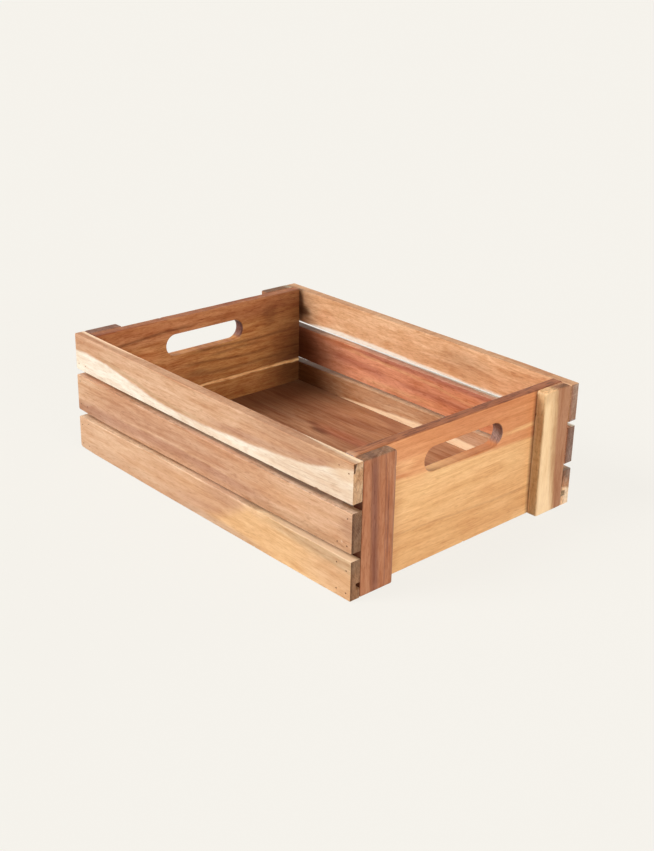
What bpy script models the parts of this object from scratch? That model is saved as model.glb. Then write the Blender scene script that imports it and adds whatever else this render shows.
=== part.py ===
"""A slatted wooden crate with two solid ends, hand slots, corner battens and a floor let into grooves.

X runs along the crate, Y across it and Z up. The origin is under the middle of the crate, on the
surface that it stands on. All sizes are in metres.
"""

import math

import bmesh
import bpy
from mathutils import Matrix, Vector

# Outside of the crate
LENGTH = 0.440
WIDTH = 0.309

# Long sides: slats with open gaps between them
SLAT_HEIGHT = 0.040
SLAT_THICKNESS = 0.0115
SLAT_GAP = 0.007

# Corner battens and end boards
BATTEN_WIDTH = 0.040
BATTEN_THICKNESS = 0.0115
END_THICKNESS = 0.013

# Hand slot through each end board, measured down from the rim
SLOT_LENGTH = 0.108
SLOT_HEIGHT = 0.0255
SLOT_BELOW_RIM = 0.018
SLOT_ARC_STEPS = 10

# Floor and the groove that holds it on all four sides
FLOOR_THICKNESS = 0.0055
FLOOR_UNDERSIDE = 0.0108
GROOVE_DEPTH = 0.005

# Brads through the slats' ends
BRAD_LENGTH = 0.030
BRAD_DIAMETER = 0.0011
BRAD_HEAD_DIAMETER = 0.0016
BRAD_HEAD_HEIGHT = 0.0006
BRAD_POINT = 0.0020
BRAD_SUNK = 0.0005
BRAD_FROM_EDGE = 0.0068
BRAD_STAGGER = 0.0040
BRAD_SIDES = 8

# Edges and fits
SLAT_EDGE_ROUND = 0.0010
BATTEN_EDGE_ROUND = 0.0015
END_EDGE_ROUND = 0.0024
SLOT_EDGE_ROUND = 0.0015
ROUND_STEPS = 2
CLEARANCE = 0.0003

SLAT_LEVELS = ("bottom", "middle", "top")
SIDES = {"front": -1, "back": 1}
ENDS = {"left": -1, "right": 1}

# What follows from the sizes above
HEIGHT = len(SLAT_LEVELS) * SLAT_HEIGHT + (len(SLAT_LEVELS) - 1) * SLAT_GAP
SLAT_INNER = WIDTH / 2 - SLAT_THICKNESS
BATTEN_INNER = LENGTH / 2 - BATTEN_THICKNESS
END_OUTER = BATTEN_INNER - CLEARANCE
END_INNER = END_OUTER - END_THICKNESS
GROOVE_LOW = FLOOR_UNDERSIDE - CLEARANCE
GROOVE_HIGH = FLOOR_UNDERSIDE + FLOOR_THICKNESS + CLEARANCE
SLOT_CENTRE = HEIGHT - SLOT_BELOW_RIM - SLOT_HEIGHT / 2

# Cutters run past the faces that they open, and points closer than the weld distance are one
CUT_PAST = 6 * CLEARANCE
WELD = CLEARANCE / 100
SHARP_ANGLE = math.radians(45)

# Colour (linear), roughness and metallic value of each kind of piece
WOOD_ROUGHNESS = 0.45
SLAT_COLOURS = {
    "front_top_slat": (0.78, 0.52, 0.33),
    "front_middle_slat": (0.68, 0.38, 0.21),
    "front_bottom_slat": (0.77, 0.46, 0.26),
    "back_top_slat": (0.74, 0.39, 0.20),
    "back_middle_slat": (0.54, 0.20, 0.10),
    "back_bottom_slat": (0.42, 0.20, 0.09),
}
END_COLOURS = {"left": (0.38, 0.18, 0.08), "right": (0.76, 0.40, 0.17)}
BATTEN_COLOURS = {
    "front_left": (0.44, 0.22, 0.12),
    "front_right": (0.40, 0.17, 0.09),
    "back_left": (0.46, 0.21, 0.11),
    "back_right": (0.65, 0.39, 0.21),
}
FLOOR_COLOUR = (0.45, 0.22, 0.12)
BRAD_COLOUR = (0.30, 0.27, 0.24)
BRAD_ROUGHNESS = 0.40


def clear_scene():
    for obj in list(bpy.data.objects):
        bpy.data.objects.remove(obj, do_unlink=True)


def new_collection(name):
    collection = bpy.data.collections.new(name)
    bpy.context.scene.collection.children.link(collection)
    return collection


def new_material(name, colour, roughness, metallic=0.0):
    material = bpy.data.materials.new(name)
    material.use_nodes = True
    shader = material.node_tree.nodes["Principled BSDF"]
    shader.inputs["Base Color"].default_value = (*colour, 1.0)
    shader.inputs["Roughness"].default_value = roughness
    shader.inputs["Metallic"].default_value = metallic
    return material


def new_object(name, mesh, collection, material=None):
    obj = bpy.data.objects.new(name, mesh)
    collection.objects.link(obj)
    if material:
        mesh.materials.append(material)
    return obj


def baked_mesh(obj):
    """A new mesh of the object as its modifiers, or its curve settings, leave it."""
    bpy.context.view_layer.update()
    graph = bpy.context.evaluated_depsgraph_get()
    return bpy.data.meshes.new_from_object(obj.evaluated_get(graph))


def new_cutter(name, mesh):
    cutter = new_object(name, mesh, cutters)
    cutter.hide_render = True
    cutter.display_type = "WIRE"
    return cutter


def box_mesh(name, size):
    mesh = bpy.data.meshes.new(name)
    shape = bmesh.new()
    bmesh.ops.create_cube(shape, size=1.0, matrix=Matrix.Diagonal((*size, 1.0)))
    shape.to_mesh(mesh)
    shape.free()
    return mesh


def middle_and_size(low, high):
    low, high = Vector(low), Vector(high)
    return (low + high) / 2, high - low


def add_board(name, low, high, colour):
    """A sawn board between two corners, with its origin at its middle."""
    middle, size = middle_and_size(low, high)
    material = new_material(name + "_wood", colour, WOOD_ROUGHNESS)
    board = new_object(name, box_mesh(name, size), crate, material)
    board.location = middle
    return board


def add_box_cutter(name, low, high):
    middle, size = middle_and_size(low, high)
    cutter = new_cutter(name, box_mesh(name, size))
    cutter.location = middle
    return cutter


def cut(board, cutter):
    difference = board.modifiers.new("cut_" + cutter.name, "BOOLEAN")
    difference.operation = "DIFFERENCE"
    difference.solver = "EXACT"
    difference.object = cutter


def cut_nail_holes(board):
    difference = board.modifiers.new("nail_holes", "BOOLEAN")
    difference.operation = "DIFFERENCE"
    difference.solver = "EXACT"
    difference.operand_type = "COLLECTION"
    difference.collection = nail_holes


def round_edges(board, radius, chosen):
    """Rounds the box's edges for which chosen says yes, given the two sides that meet there."""
    shape = bmesh.new()
    shape.from_mesh(board.data)
    weights = shape.edges.layers.float.new("bevel_weight_edge")
    for edge in shape.edges:
        first, second = (vert.co for vert in edge.verts)
        sides = {
            ("+" if first[axis] > 0 else "-") + "xyz"[axis]
            for axis in range(3)
            if first[axis] * second[axis] > 0
        }
        edge[weights] = 1.0 if chosen(sides) else 0.0
    shape.to_mesh(board.data)
    shape.free()
    add_round(board, radius)


def add_round(board, radius):
    bevel = board.modifiers.new("rounded_edges", "BEVEL")
    bevel.width = radius
    bevel.segments = ROUND_STEPS
    bevel.limit_method = "WEIGHT"


def side_name(sign, axis):
    return ("+" if sign > 0 else "-") + axis


def slat_bottom(level):
    return SLAT_LEVELS.index(level) * (SLAT_HEIGHT + SLAT_GAP)


def add_slat(side, level):
    """A slat with rounded edges, but square where its end meets the batten behind it."""
    name = f"{side}_{level}_slat"
    sign = SIDES[side]
    near, far = sorted((sign * SLAT_INNER, sign * WIDTH / 2))
    bottom = slat_bottom(level)
    low = (-LENGTH / 2, near, bottom)
    high = (LENGTH / 2, far, bottom + SLAT_HEIGHT)
    slat = add_board(name, low, high, SLAT_COLOURS[name])
    inner = side_name(-sign, "y")
    round_edges(slat, SLAT_EDGE_ROUND, lambda sides: not (inner in sides and sides & {"-x", "+x"}))
    if level == SLAT_LEVELS[0]:
        cut(slat, add_slat_groove(side))
    cut_nail_holes(slat)
    return slat


def add_slat_groove(side):
    """The floor's groove in a bottom slat. It runs out at both ends of the slat."""
    sign = SIDES[side]
    near, far = sorted((sign * (SLAT_INNER - CUT_PAST), sign * (SLAT_INNER + GROOVE_DEPTH)))
    low = (-LENGTH / 2 - CUT_PAST, near, GROOVE_LOW)
    high = (LENGTH / 2 + CUT_PAST, far, GROOVE_HIGH)
    return add_box_cutter(f"{side}_floor_groove", low, high)


def add_batten(side, end):
    """An upright batten in the corner between a side's slat ends and an end board's outer face."""
    sign, way = SIDES[side], ENDS[end]
    outer_y = SLAT_INNER - CLEARANCE
    near_y, far_y = sorted((sign * (outer_y - BATTEN_WIDTH), sign * outer_y))
    near_x, far_x = sorted((way * BATTEN_INNER, way * LENGTH / 2))
    low, high = (near_x, near_y, 0.0), (far_x, far_y, HEIGHT)
    corner = f"{side}_{end}"
    batten = add_board(corner + "_batten", low, high, BATTEN_COLOURS[corner])
    seams = {side_name(sign, "y"), side_name(-way, "x")}
    round_edges(batten, BATTEN_EDGE_ROUND, lambda sides: not sides & seams)
    cut_nail_holes(batten)
    return batten


def slot_outline():
    """The hand slot's outline: two half circles joined by straight runs."""
    radius = SLOT_HEIGHT / 2
    reach = SLOT_LENGTH / 2 - radius
    points = []
    for sign in (1, -1):
        for step in range(SLOT_ARC_STEPS + 1):
            turn = math.pi * (step / SLOT_ARC_STEPS - 0.5)
            points.append((sign * (reach + radius * math.cos(turn)), sign * radius * math.sin(turn)))
    return points


def add_slot_cutter(end):
    """The hand slot as a solid that runs past both faces of its end board."""
    curve = bpy.data.curves.new("slot_outline", "CURVE")
    curve.dimensions = "2D"
    curve.fill_mode = "BOTH"
    curve.extrude = END_THICKNESS / 2 + CUT_PAST
    spline = curve.splines.new("POLY")
    outline = slot_outline()
    spline.points.add(len(outline) - 1)
    for point, (across, up) in zip(spline.points, outline):
        point.co = (across, up, 0.0, 1.0)
    spline.use_cyclic_u = True
    guide = new_object("slot_guide", curve, cutters)
    mesh = baked_mesh(guide)
    bpy.data.objects.remove(guide)
    shape = bmesh.new()
    shape.from_mesh(mesh)
    bmesh.ops.remove_doubles(shape, verts=shape.verts, dist=WELD)
    bmesh.ops.recalc_face_normals(shape, faces=shape.faces)
    shape.to_mesh(mesh)
    shape.free()
    cutter = new_cutter(f"{end}_hand_slot", mesh)
    cutter.rotation_euler = (math.pi / 2, 0.0, math.pi / 2)
    cutter.location = (ENDS[end] * (END_INNER + END_OUTER) / 2, 0.0, SLOT_CENTRE)
    return cutter


def round_slot(board):
    """Rounds both rims of the hand slot, so that it is kind to the fingers."""
    board.data = baked_mesh(board)
    board.modifiers.clear()
    shape = bmesh.new()
    shape.from_mesh(board.data)
    slot_middle = SLOT_CENTRE - board.location.z
    rim = []
    for edge in shape.edges:
        on_a_face = abs(edge.verts[0].co.x - edge.verts[1].co.x) < CLEARANCE
        within = all(
            abs(vert.co.y) < SLOT_LENGTH / 2 + CLEARANCE
            and abs(vert.co.z - slot_middle) < SLOT_HEIGHT / 2 + CLEARANCE
            for vert in edge.verts
        )
        if on_a_face and within and edge.calc_face_angle(0.0) > SHARP_ANGLE:
            rim.append(edge)
    bmesh.ops.bevel(
        shape,
        geom=rim,
        offset=SLOT_EDGE_ROUND,
        offset_type="OFFSET",
        segments=ROUND_STEPS,
        profile=0.5,
        affect="EDGES",
    )
    shape.to_mesh(board.data)
    shape.free()


def add_end_groove(end):
    """The floor's groove across the inner face of an end board."""
    way = ENDS[end]
    near, far = sorted((way * (END_INNER - CUT_PAST), way * (END_INNER + GROOVE_DEPTH)))
    low = (near, -SLAT_INNER - CUT_PAST, GROOVE_LOW)
    high = (far, SLAT_INNER + CUT_PAST, GROOVE_HIGH)
    return add_box_cutter(f"{end}_floor_groove", low, high)


def add_end_board(end):
    """A solid end board between the two long sides, with a hand slot and a groove for the floor."""
    way = ENDS[end]
    near, far = sorted((way * END_INNER, way * END_OUTER))
    reach = SLAT_INNER - CLEARANCE
    low, high = (near, -reach, 0.0), (far, reach, HEIGHT)
    board = add_board(f"{end}_end_board", low, high, END_COLOURS[end])
    round_edges(board, END_EDGE_ROUND, lambda sides: "+z" in sides and not sides & {"-y", "+y"})
    cut(board, add_slot_cutter(end))
    round_slot(board)
    cut(board, add_end_groove(end))
    cut_nail_holes(board)
    return board


def add_floor():
    """The floor, which reaches into the grooves of both bottom slats and both end boards."""
    reach_x = END_INNER + GROOVE_DEPTH - CLEARANCE
    reach_y = SLAT_INNER + GROOVE_DEPTH - CLEARANCE
    low = (-reach_x, -reach_y, FLOOR_UNDERSIDE)
    high = (reach_x, reach_y, FLOOR_UNDERSIDE + FLOOR_THICKNESS)
    return add_board("floor_board", low, high, FLOOR_COLOUR)


def turned(name, profile):
    """A closed mesh turned round Z from (radius, height) points that run from top to bottom."""
    mesh = bpy.data.meshes.new(name)
    points = [(radius, 0.0, height) for radius, height in profile]
    mesh.from_pydata(points, [(i, i + 1) for i in range(len(points) - 1)], [])
    guide = new_object(name, mesh, cutters)
    screw = guide.modifiers.new("turn", "SCREW")
    screw.steps = BRAD_SIDES
    screw.render_steps = BRAD_SIDES
    screw.use_merge_vertices = True
    screw.merge_threshold = WELD
    solid = baked_mesh(guide)
    bpy.data.objects.remove(guide)
    return solid


def brad_profile(grow, above):
    """A brad's half outline from its head, at height 0, to its point. A hole's is larger by grow."""
    head = BRAD_HEAD_DIAMETER / 2 + grow
    shank = BRAD_DIAMETER / 2 + grow
    under_head = -BRAD_HEAD_HEIGHT - grow
    return [
        (0.0, above),
        (head, above),
        (head, under_head),
        (shank, under_head),
        (shank, BRAD_POINT - BRAD_LENGTH),
        (0.0, -BRAD_LENGTH - grow),
    ]


def brad_places(side, end, level):
    """Where the brads of one slat end enter: one column over the batten, one over the end board."""
    way = ENDS[end]
    over_batten = way * (BATTEN_INNER + LENGTH / 2) / 2
    over_end = way * (END_INNER + END_OUTER) / 2
    low = slat_bottom(level) + BRAD_FROM_EDGE
    high = slat_bottom(level) + SLAT_HEIGHT - BRAD_FROM_EDGE
    places = [(over_batten, low), (over_end, low)]
    if level == "middle":
        places += [(over_batten, high)]
    else:
        places += [(over_batten, high - BRAD_STAGGER), (over_end, high)]
    face = SIDES[side] * (WIDTH / 2 - BRAD_SUNK)
    return [(x, face, z) for x, z in places]


def add_brads():
    """Every brad, each with a hole a little larger than itself."""
    brad_mesh = turned("brad", brad_profile(0.0, 0.0))
    brad_mesh.materials.append(new_material("brad_steel", BRAD_COLOUR, BRAD_ROUGHNESS, 1.0))
    brad_mesh.shade_smooth()
    brad_mesh.set_sharp_from_angle(angle=SHARP_ANGLE)
    hole_mesh = turned("brad_hole", brad_profile(CLEARANCE, BRAD_SUNK + CUT_PAST))
    for side, sign in SIDES.items():
        for end in ENDS:
            for level in SLAT_LEVELS:
                for number, place in enumerate(brad_places(side, end, level), start=1):
                    label = f"{side}_{end}_{level}_{number}"
                    brad = new_object("brad_" + label, brad_mesh, crate)
                    hole = new_cutter("hole_" + label, hole_mesh)
                    cutters.objects.unlink(hole)
                    nail_holes.objects.link(hole)
                    for obj in (brad, hole):
                        obj.location = place
                        obj.rotation_euler = (-sign * math.pi / 2, 0.0, 0.0)


clear_scene()
crate = new_collection("apple_crate")
cutters = new_collection("crate_cutters")
nail_holes = new_collection("crate_nail_holes")
add_brads()
for side in SIDES:
    for level in SLAT_LEVELS:
        add_slat(side, level)
    for end in ENDS:
        add_batten(side, end)
for end in ENDS:
    add_end_board(end)
add_floor()
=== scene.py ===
"""Looks of a nailed wooden apple crate: acacia boards, brads, a pale floor, soft light and the camera."""
from math import cos, pi, radians, sin, sqrt

import bmesh
import bpy
from mathutils import Matrix, Vector, noise


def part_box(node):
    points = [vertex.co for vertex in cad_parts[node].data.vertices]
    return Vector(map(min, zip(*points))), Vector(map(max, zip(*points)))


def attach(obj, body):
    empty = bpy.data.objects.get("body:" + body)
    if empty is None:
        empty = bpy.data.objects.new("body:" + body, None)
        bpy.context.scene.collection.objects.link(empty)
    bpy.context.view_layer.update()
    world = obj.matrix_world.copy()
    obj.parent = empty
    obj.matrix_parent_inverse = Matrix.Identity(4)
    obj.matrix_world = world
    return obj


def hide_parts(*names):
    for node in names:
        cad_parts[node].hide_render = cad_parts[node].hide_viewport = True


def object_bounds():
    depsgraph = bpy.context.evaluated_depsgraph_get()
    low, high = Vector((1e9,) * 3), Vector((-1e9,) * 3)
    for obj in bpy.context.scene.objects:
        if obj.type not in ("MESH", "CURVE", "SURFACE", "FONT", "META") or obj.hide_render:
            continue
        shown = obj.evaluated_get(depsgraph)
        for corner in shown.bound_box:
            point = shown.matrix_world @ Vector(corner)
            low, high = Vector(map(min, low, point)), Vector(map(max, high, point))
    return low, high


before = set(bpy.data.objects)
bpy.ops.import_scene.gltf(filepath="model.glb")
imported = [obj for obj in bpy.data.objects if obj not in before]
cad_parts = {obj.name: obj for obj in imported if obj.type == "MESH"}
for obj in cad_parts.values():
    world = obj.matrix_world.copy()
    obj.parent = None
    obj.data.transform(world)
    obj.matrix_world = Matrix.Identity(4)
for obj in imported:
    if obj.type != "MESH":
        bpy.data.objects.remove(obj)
cad_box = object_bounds()
scene = bpy.context.scene

X, Y, Z = 0, 1, 2
MM = 0.001
CLEARANCE = 0.3 * MM

# Board shapes
# Cross sections lie a step apart, no nearer than the least, clear of the rounded ends
STATION_STEP = 5 * MM
LEAST_STEP = 0.05 * MM
CLEAR_OF_END = 1.05
CORNER_STEPS = 5
END_STEPS = 4
# Upper and lower edges, and low and high ends, are rounded by these radii
SLAT_EDGES = (0.9 * MM, 0.5 * MM)
SLAT_ENDS = (1.2 * MM, 0.6 * MM)
BACK_SLAT_EDGES = (0.35 * MM, 0.35 * MM)
BATTEN_EDGES = (1.7 * MM, 1.7 * MM)
BATTEN_ENDS = (2.3 * MM, 3.0 * MM)
LEFT_BATTEN_ENDS = (2.3 * MM, 1.2 * MM)
FRONT_RIGHT_BATTEN_EDGES = (0.9 * MM, 1.4 * MM)
BACK_RIGHT_BATTEN_EDGES = (1.6 * MM, 2.0 * MM)
BACK_RIGHT_BATTEN_ENDS = (0.8 * MM, 3.0 * MM)
END_BOARD_EDGES = (1.8 * MM, 0.8 * MM)
END_BOARD_ENDS = (0.6 * MM, 0.6 * MM)
FLOOR_EDGES = (0.5 * MM, 0.5 * MM)
# Edges against an end board stay crisp
FLUSH_EDGE = 0.4 * MM
LEAST_ROUND = 0.2 * MM
# The slats' low ends have their upper and lower corners cut rounder
SLAT_CORNERS = (1.6 * MM, 2.6 * MM)
BOTTOM_SLAT_CORNERS = (1.6 * MM, 4.2 * MM)
WEAR_SHARE = 0.35
WEAR_LENGTH = 22 * MM
# Wear differs from edge to edge and from board to board
EDGES_APART = 9.1
BOARDS_APART = 4.3
# A bowed board is straight in the middle and bends towards its ends
BOW_POWER = 6
NICKS_PER_METRE = 16
NICK_DEPTH = (0.25 * MM, 0.8 * MM)
NICK_HALF_LENGTH = (1.2 * MM, 4.0 * MM)
# Nicks' places in shares of the length, their edges by number, and their cross sections
NICK_PLACES = (-0.48, 0.48)
NICK_EDGES = (0, 3.999)
NICK_STATIONS = (-1, -0.6, -0.25, 0, 0.25, 0.6, 1)
SMOOTH_ANGLE = radians(38)
FACE_WEIGHT = 90
# Cutters reach this far past a board
OVERSHOOT = 1 * MM

# Hand slots
SLOT_RIM_ROUND = 1.1 * MM
SLOT_RIM_STEPS = 5
SLOT_ARC_STEPS = 18
SLOT_HALF_LENGTH = 54 * MM
SLOT_HALF_HEIGHT = 12.5 * MM
SLOT_CENTRE_Z = 102.6 * MM
# The left slot is cut a little further back and lower
SLOT_SHIFTS = {"left_end_board": (0.6 * MM, -0.3 * MM), "right_end_board": (0.0, 0.0)}

# Grooves and nail holes
GROOVE_DEPTH = 5 * MM
HOLE_SIDES = 14
HOLE_MOUTH_RADIUS = 0.87 * MM
HOLE_CLEARANCE = 0.04 * MM
HOLE_MOUTH_DEPTH = 0.7 * MM
# Brads at the left ends are filled, so they hardly show, and two of the front top slat are covered
FILLED_BRADS = "_left_"
COVERED_BRADS = ("brad_front_right_top_1", "brad_front_right_top_2")
COVER = 0.25 * MM

# A broken corner of the front top slat
CHIP_SKIN = 0.4 * MM
CHIP_DROP = 0.5 * MM
CHIP_WIDTH = 4.5 * MM
CHIP_HEIGHT = 9 * MM
CHIP_DEPTH = 1.6 * MM
# Its outline, in shares of its width and height
CHIP_OUTLINE = [(0.0, 0.0), (1.0, 0.0), (0.72, 0.2), (0.5, 0.6), (0.36, 1.0), (0.0, 1.0)]
# The chip's walls get painted shade, in millimetres from the slat's end, face and top: from none to full
CHIP_BEHIND_END = (0.5, 0.9)
CHIP_AT_MOST = (4.0, 3.0)
CHIP_BEHIND_FACE = (0.25, 0.38)
CHIP_BELOW_TOP = (0.35, 0.48)


def srgb(red, green, blue):
    """A colour written as three 0 to 255 values, as linear RGBA."""
    def linear(value):
        share = value / 255
        return share / 12.92 if share <= 0.04045 else ((share + 0.055) / 1.055) ** 2.4
    return linear(red), linear(green), linear(blue), 1.0


# Colours of wood and brads, and of painted shade, from 0 to 255 as they look on a screen
CREAM = (255, 240, 220)
WARM_CREAM = (245, 209, 161)
TAN = (221, 174, 137)
PALE_TAN = (230, 186, 148)
PINK_TAN = (217, 166, 130)
PINK_BROWN = (192, 141, 114)
ROSE_BROWN = (186, 132, 104)
GOLD = (241, 193, 134)
ORANGE = (216, 144, 93)
ORANGE_TAN = (226, 170, 124)
DARK_BROWN = (104, 62, 33)
BURNT_BROWN = (134, 82, 64)
GREY_BROWN = (150, 116, 96)
# Painted shade for the far inner corner of the back top slat
CORNER_SHADE = (66, 34, 12)
FINE_LINE = (206, 168, 132)
GOLD_LINE = (196, 156, 116)
LIGHT_ORANGE = (246, 174, 130)
BRAD_COLOURS = ((186, 140, 108), (146, 104, 78))
FILLED_BRAD_COLOURS = ((236, 192, 156), (214, 168, 134))

# Painted shade in corners and beside battens goes this deep, and marks' lines lie this near to a board's
# middle, in mm
PAINTED_SHADE_SKIN = 1.5
LINE_REACH = 60.0


class Value:
    """A shader value that takes part in sums. Each sum adds a math node."""

    def __init__(self, graph, socket):
        self.graph = graph
        self.socket = socket

    def __add__(self, other):
        return self.graph.math("ADD", self, other)

    def __sub__(self, other):
        return self.graph.math("SUBTRACT", self, other)

    def __rsub__(self, other):
        return self.graph.math("SUBTRACT", other, self)

    def __mul__(self, other):
        return self.graph.math("MULTIPLY", self, other)

    def __abs__(self):
        return self.graph.math("ABSOLUTE", self)


class Graph:
    """Adds shader nodes from short expressions and returns their outputs as values."""

    def __init__(self, tree):
        self.tree = tree

    def node(self, kind, inputs, **settings):
        made = self.tree.nodes.new(kind)
        for name, value in settings.items():
            setattr(made, name, value)
        for key, value in inputs.items():
            self.feed(made.inputs[key], value)
        return made

    def value(self, kind, inputs, output=0, **settings):
        return Value(self, self.node(kind, inputs, **settings).outputs[output])

    def feed(self, socket, value):
        if isinstance(value, Value):
            self.tree.links.new(value.socket, socket)
        else:
            socket.default_value = value

    def math(self, operation, *values):
        return self.value("ShaderNodeMath", dict(enumerate(values)), operation=operation)

    def length(self, first, second):
        return self.math("SQRT", first * first + second * second)

    def spread(self, value, low, high, start, stop, kind="LINEAR"):
        """A straight, clamped map of value from low..high to start..stop."""
        inputs = {"Value": value, "From Min": low, "From Max": high, "To Min": start, "To Max": stop}
        return self.value("ShaderNodeMapRange", inputs, interpolation_type=kind)

    def step(self, value, low, high, start=0.0, stop=1.0):
        """A smooth step of value from low to high."""
        return self.spread(value, low, high, start, stop, "SMOOTHSTEP")

    def scaled(self, vector, by):
        return self.value("ShaderNodeVectorMath", {0: vector, "Scale": by}, operation="SCALE")

    def parts(self, vector):
        return [Value(self, socket) for socket in self.node("ShaderNodeSeparateXYZ", {0: vector}).outputs]

    def noise(self, place, detail, roughness, distortion=0.0, output="Fac"):
        """Noise at a vector, or at a tuple of its three parts."""
        if isinstance(place, tuple):
            place = self.value("ShaderNodeCombineXYZ", dict(enumerate(place)))
        inputs = {"Vector": place, "Scale": 1.0, "Detail": detail, "Roughness": roughness,
                  "Distortion": distortion}
        return self.value("ShaderNodeTexNoise", inputs, output)

    def mix(self, share, first, second, blend="MIX"):
        inputs = {0: share, 6: first, 7: second}
        return self.value("ShaderNodeMix", inputs, 2, data_type="RGBA", blend_type=blend)

    def shade(self, share, colour, tint):
        return self.mix(share, colour, (*tint, 1.0), "MULTIPLY")

    def curve(self, value, points):
        """A smooth curve through given (along, across) points in millimetres."""
        low, high = points[0][0], points[-1][0]
        made = self.node("ShaderNodeFloatCurve", {"Value": self.spread(value, low, high, 0.0, 1.0)})
        line = made.mapping.curves[0]
        for number, (along, across) in enumerate(points):
            place = ((along - low) / (high - low), 0.5 + across / (2 * LINE_REACH))
            if number == 0:
                line.points[0].location = place
            elif number == len(points) - 1:
                line.points[len(line.points) - 1].location = place
            else:
                line.points.new(*place)
        made.mapping.update()
        return self.spread(Value(self, made.outputs[0]), 0.0, 1.0, -LINE_REACH, LINE_REACH)

    def seen(self):
        """1 for what the camera sees, also in a reflection or through glass, and 0 for light on its way."""
        path = self.node("ShaderNodeLightPath", {}).outputs
        camera, glossy, through = (Value(self, path[f"Is {kind} Ray"])
                                   for kind in ("Camera", "Glossy", "Transmission"))
        return self.math("MAXIMUM", self.math("MAXIMUM", camera, glossy), through)


def new_material(name):
    material = bpy.data.materials.new(name)
    material.use_nodes = True
    tree = material.node_tree
    return material, Graph(tree), tree.nodes["Principled BSDF"]


# Marks in a board's figure, in millimetres along and across its visible face: each is a colour, a function
# that works out how much of it shows, from 0 to 1, and how much it calms the grain

# How much the jitter frays the border of a patch
PATCH_FRAY = 0.12


def side_of(colour, line, above, soft=1.6, tilt=0.0, share=1.0, calm=0.0):
    """All the wood above or below a line, such as sapwood. Tilt moves the line with depth."""
    def mask(graph, along, across, depth, jitter):
        height = across - graph.curve(along, line) - depth * tilt + jitter
        low, high = (-soft, soft) if above else (soft, -soft)
        return graph.step(height, low, high) * share
    return colour, mask, calm


def streak(colour, line, half_width, soft, share=1.0, fade=40.0):
    """A band that follows a line and fades out at the line's two ends."""
    def mask(graph, along, across, depth, jitter):
        off = abs(across - graph.curve(along, line) + jitter)
        first, last = line[0][0], line[-1][0]
        shown = graph.step(along, first, first + fade) * graph.step(along, last, last - fade)
        return graph.step(off, half_width + soft, half_width - soft) * share * shown
    return colour, mask, 0.0


def patch(colour, centre, reach, share=1.0, soft=0.6, skin=None):
    """A cloud of another colour round a point. Skin keeps it that near to the visible face."""
    def mask(graph, along, across, depth, jitter):
        far = graph.length((along - centre[0]) * (1 / reach[0]), (across - centre[1]) * (1 / reach[1]))
        inside = graph.step(far + jitter * PATCH_FRAY, 1 + soft, 1 - soft) * share
        return inside if skin is None else inside * graph.step(depth, 2 * skin, skin)
    return colour, mask, 0.0


# How far a face turns from an axis before it counts as an edge, a cut end or a wall of a slot
EDGE_TURN = (0.55, 0.92)
END_TURN = (0.35, 0.85)
WALL_TURN = (0.80, 0.35)
# A board's narrow edges begin and are full this far in from its width, in millimetres
RIM_REACH = (3.0, 1.5)
# Cut ends are dark near the face, from the first depth to the second, in millimetres; on the back slats,
# painted shade beside the battens
ARRIS_DEPTHS = (4.0, 0.6)
BACK_ARRIS_SHADE_DEPTHS = (6.5, 0.6)
FRONT_ARRIS_TINT = (0.62, 0.56, 0.50)
# Painted shade on battens' sides against the slats, seen through the gaps
SLAT_SIDE_SHADE = (0.36, 0.28, 0.235)
EDGE_TINT = (0.86, 0.83, 0.80)
END_TINT = (0.50, 0.46, 0.45)
RING_RADIANS_PER_MM = 3.4
# Tints that a noise brings: where it starts and is full, and the tint
SCUFF_TINTS = [((0.50, 0.61), (0.55, 0.45, 0.38)), ((0.48, 0.37), (1.14, 1.16, 1.16))]
BLOTCH_TINTS = [((0.50, 0.64), (0.72, 0.66, 0.61)), ((0.48, 0.34), (1.20, 1.22, 1.22))]

# Growth layers: how many to a millimetre across and along the grain, the noise's detail and its shift
LAYERS = {
    "broad": (0.10, 0.006, 2.0, 0.0),
    "medium": (0.34, 0.014, 3.0, 11.0),
    "thin": (0.95, 0.032, 3.0, 17.0),
    "fine": (2.2, 0.06, 2.0, 23.0),
    "pores": (1.7, 0.10, 2.0, 37.0),
}
PORE_RANGE = (0.58, 0.70)
# The grain's tints in turn: the noise, where it starts and is full, its share (None: the look's), the tint
GRAIN_TINTS = [
    ("broad", (0.48, 0.66), 0.60, (0.86, 0.75, 0.65)),
    ("broad", (0.50, 0.32), 0.60, (1.06, 1.11, 1.15)),
    ("medium", (0.50, 0.66), 0.65, (0.85, 0.73, 0.63)),
    ("medium", (0.48, 0.34), 0.65, (1.07, 1.12, 1.17)),
    ("thin", (0.50, 0.66), 0.55, (0.85, 0.75, 0.66)),
    ("thin", (0.48, 0.34), 0.55, (1.06, 1.11, 1.15)),
    ("fine", (0.48, 0.68), 0.58, (0.86, 0.77, 0.69)),
    ("mottle", (0.50, 0.68), None, (0.88, 0.79, 0.70)),
    ("mottle", (0.48, 0.32), None, (1.07, 1.12, 1.15)),
    ("ripple", (0.50, 0.66), None, (0.89, 0.83, 0.77)),
    ("ripple", (0.48, 0.32), None, (1.06, 1.10, 1.12)),
    ("pores", PORE_RANGE, 0.50, (0.70, 0.57, 0.47)),
]


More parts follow.
